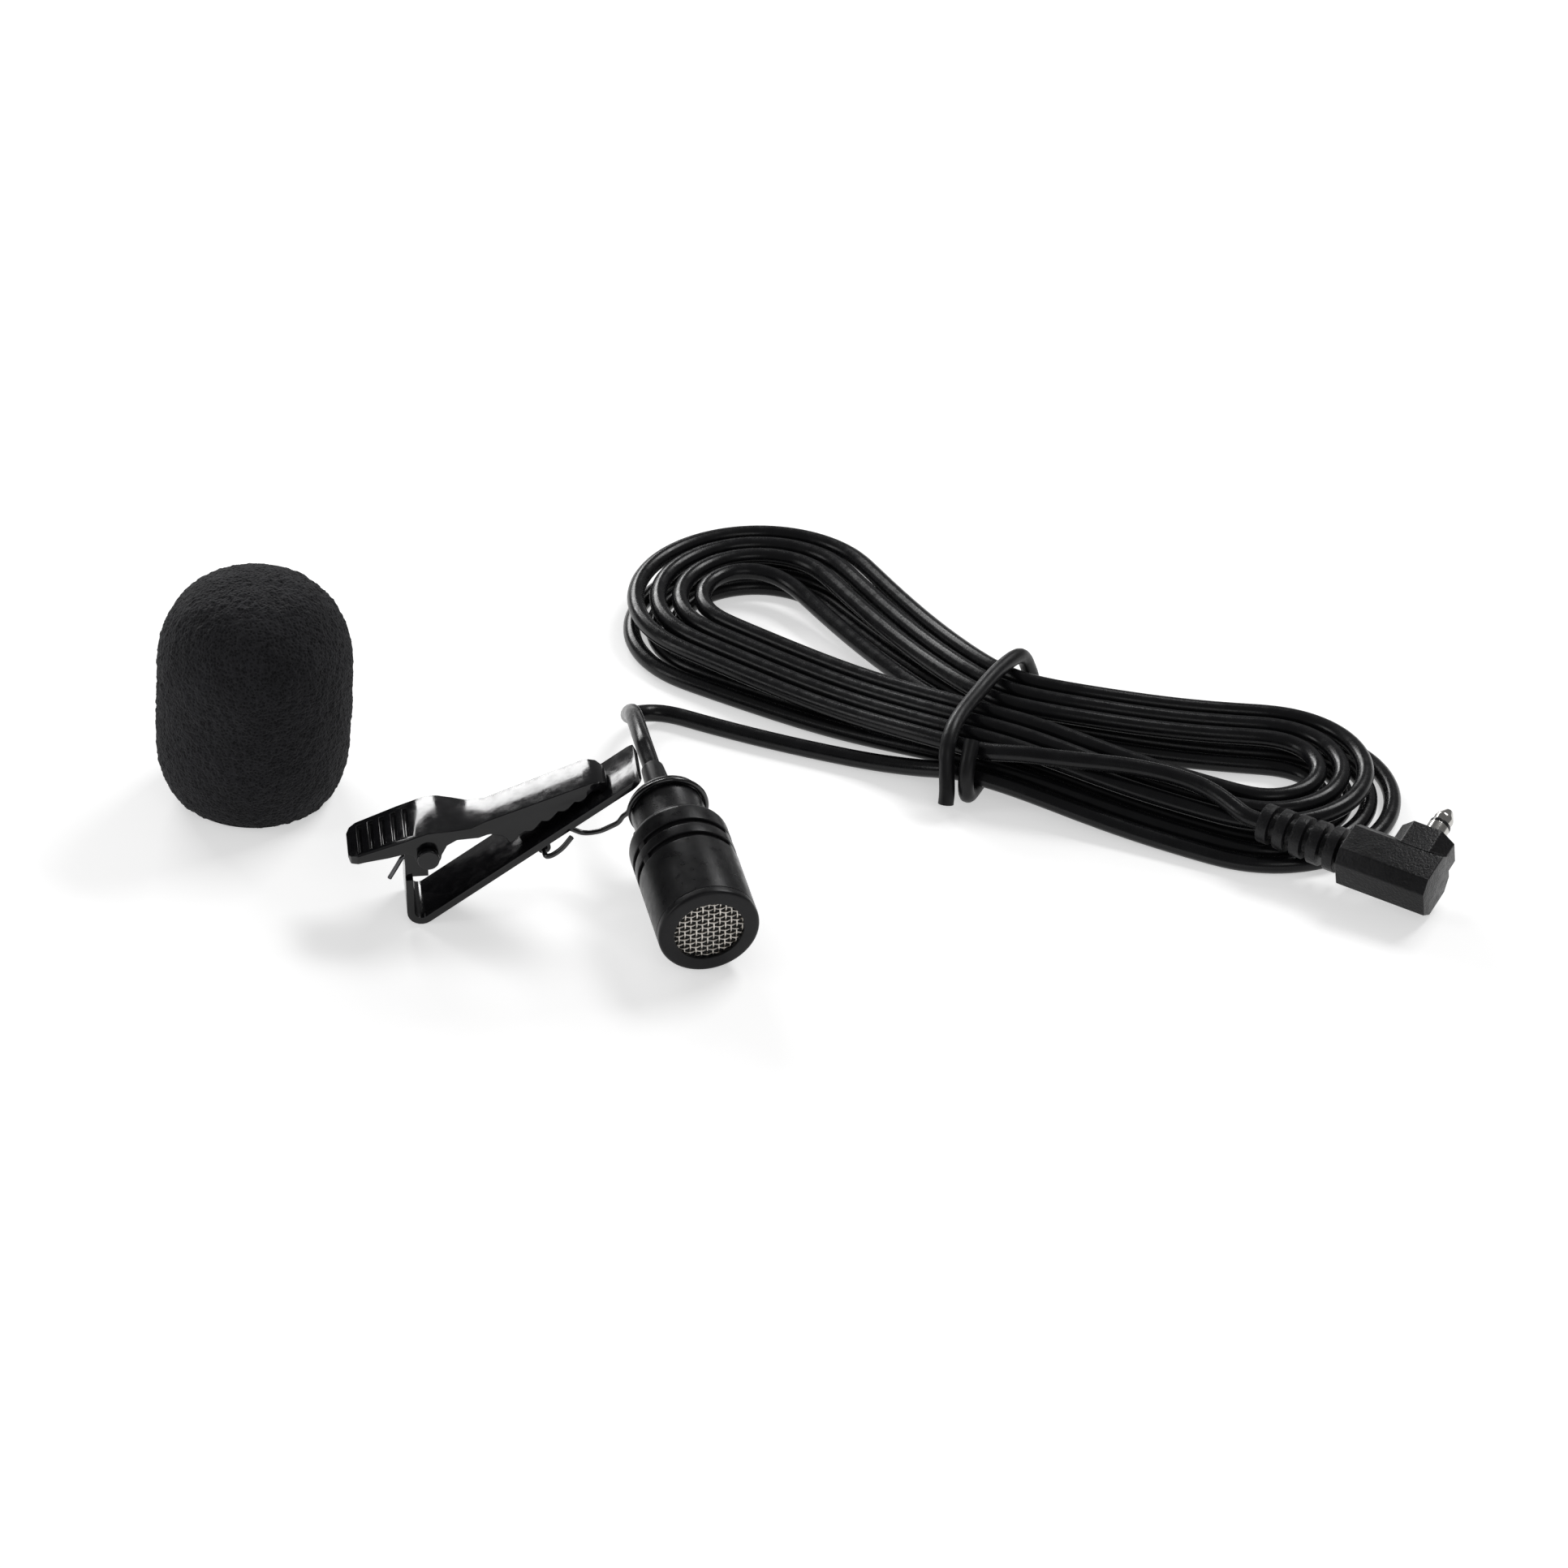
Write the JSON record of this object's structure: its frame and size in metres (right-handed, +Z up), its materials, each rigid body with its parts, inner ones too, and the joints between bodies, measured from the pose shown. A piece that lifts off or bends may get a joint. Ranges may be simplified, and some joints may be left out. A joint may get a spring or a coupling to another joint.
{
  "type": "lavalier microphone",
  "caption": "Tie-clip lavalier microphone with a foam windscreen, a hanked cord held by a wire tie, and an angled jack plug.",
  "frame": {"origin": "on the table, under the middle of the box around the microphone, its clip and its windscreen, without the cord and plug", "axes": "+Z up from the table, +Y away from the viewer, +X from the windscreen towards the microphone and the hanked cord"},
  "size_m": [0.1442, 0.0892, 0.0272],
  "materials": {
    "barrel": "satin black anodised",
    "tail": "satin black",
    "mesh": "woven wire",
    "felt": "dark felt",
    "inner_rubber": "matt",
    "capsule": "bright can",
    "board": "green glass-fibre board",
    "lead_red": "red insulation",
    "lead_black": "black insulation",
    "crimp": "plated",
    "clip_steel": "gloss black",
    "spring": "blackened",
    "foam": "open-cell foam",
    "cord": "satin PVC",
    "boot": "satin",
    "tie": "matt PVC sleeve",
    "plug": "satin moulded PVC",
    "plating": "polished nickel",
    "ring": "black"
  },
  "bodies": {
    "microphone": {"mic_barrel": "barrel", "front_bezel": "barrel", "grille_mesh": "mesh", "dust_felt": "felt", "capsule_holder": "inner_rubber", "capsule": "capsule", "capsule_board": "board", "lead_red": "lead_red", "lead_black": "lead_black", "cord_crimp": "crimp", "mic_tail": "tail", "cord_boot": "boot", "cord_lead": "cord", "cord_hank": "cord", "cord_tail": "cord", "wire_tie": "tie", "plug_relief": "plug", "plug_body": "plug", "plug_sleeve": "plating", "plug_insulator": "ring", "plug_tip": "plating"},
    "holder": {"holder_wire": "clip_steel"},
    "jaw": {"lower_jaw": "clip_steel", "jaw_hinge_tube": "clip_steel", "pivot_pin": "clip_steel", "clip_spring": "spring"},
    "lever": {"upper_lever": "clip_steel"},
    "windscreen": {"windscreen": "foam"}
  },
  "joints": [
    {"name": "holder_turn", "type": "hinge", "parent": "microphone", "child": "holder", "pos_m": [0.02366, -0.00389, 0.00836], "axis": [0.2396, -0.9609, -0.1392], "range_deg": [-120, 5]},
    {"name": "clip_swing", "type": "hinge", "parent": "holder", "child": "jaw", "pos_m": [0.01011, -0.00856, 0.0081], "axis": [0.1132, -0.9936, 0], "range_deg": [-12, 30]},
    {"name": "clip_open", "type": "hinge", "parent": "jaw", "child": "lever", "pos_m": [-0.00251, -0.01, 0.00895], "axis": [0.1132, -0.9936, 0], "range_deg": [0, 18], "stiffness_Nm_per_rad": 0.02, "springref_deg": -57.3, "deforming": ["clip_spring"]},
    {"name": "windscreen_lift", "type": "slide", "parent": "microphone", "child": "windscreen", "axis": [0, 0, 1], "range_m": [0, 0.06]}
  ]
}
